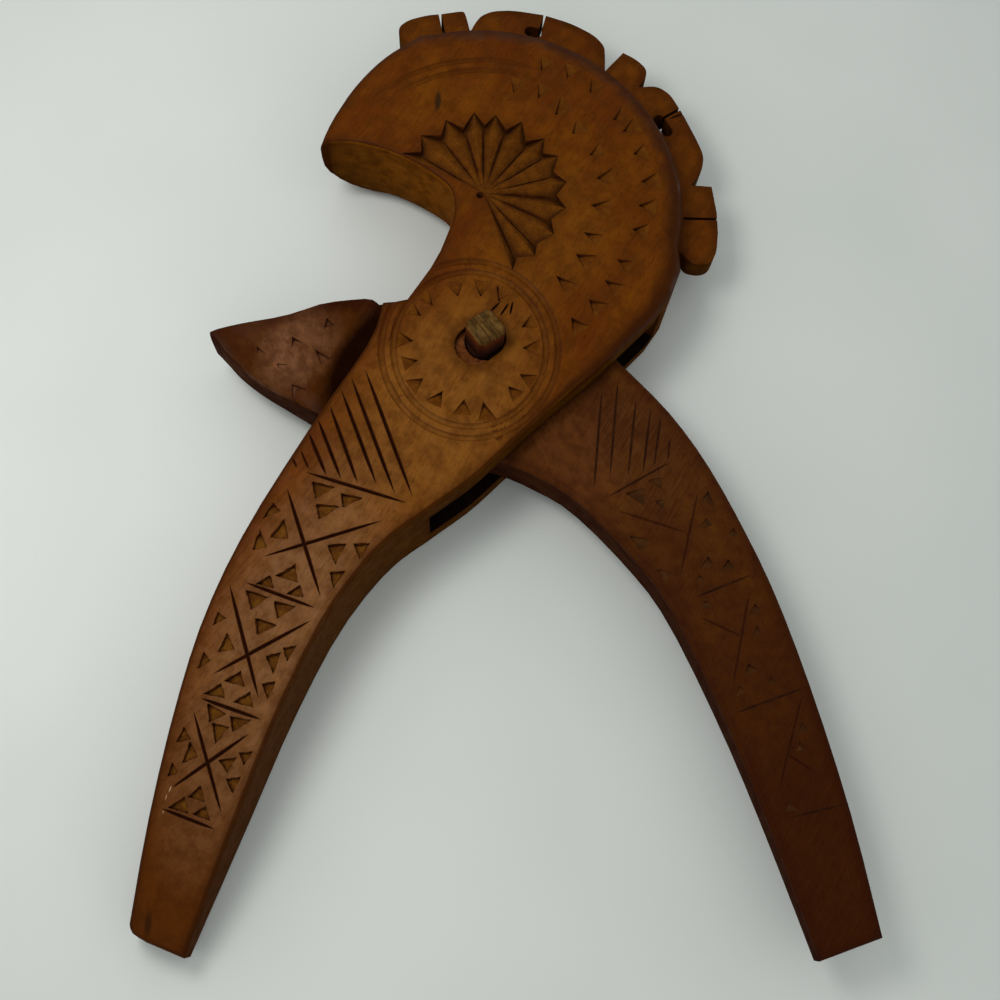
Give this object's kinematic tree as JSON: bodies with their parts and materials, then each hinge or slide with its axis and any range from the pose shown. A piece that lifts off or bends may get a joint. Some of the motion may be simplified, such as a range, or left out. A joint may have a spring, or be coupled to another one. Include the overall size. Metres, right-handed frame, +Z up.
{
  "type": "lever nutcracker press",
  "caption": "Carved wooden lever nutcracker press: a crested bird-head lever with a through slot, and a jaw lever that swings in the slot on a wooden peg.",
  "frame": {"origin": "on the plane of the flat back, under the middle of the whole press's box at rest", "axes": "+Y along the press from the handles' ends to the head, +Z up out of the carved face, +X towards the lower lever's handle"},
  "size_m": [0.1636, 0.2412, 0.0335],
  "materials": {
    "upper_wood": "oiled and worn fruitwood, orange brown, soft sheen",
    "lower_wood": "oiled and hand-polished wood, dark reddish brown",
    "peg_wood": "bare end grain, grey yellow, dry"
  },
  "bodies": {
    "upper_lever": {"upper_lever": "upper_wood"},
    "lower_lever": {"lower_lever": "lower_wood", "pivot_peg": "peg_wood"}
  },
  "joints": [
    {"name": "jaw_hinge", "type": "hinge", "parent": "upper_lever", "child": "lower_lever", "pos_m": [-0.00502, 0.0196, 0.0135], "axis": [0, 0, 1], "range_deg": [-46, 10]}
  ]
}
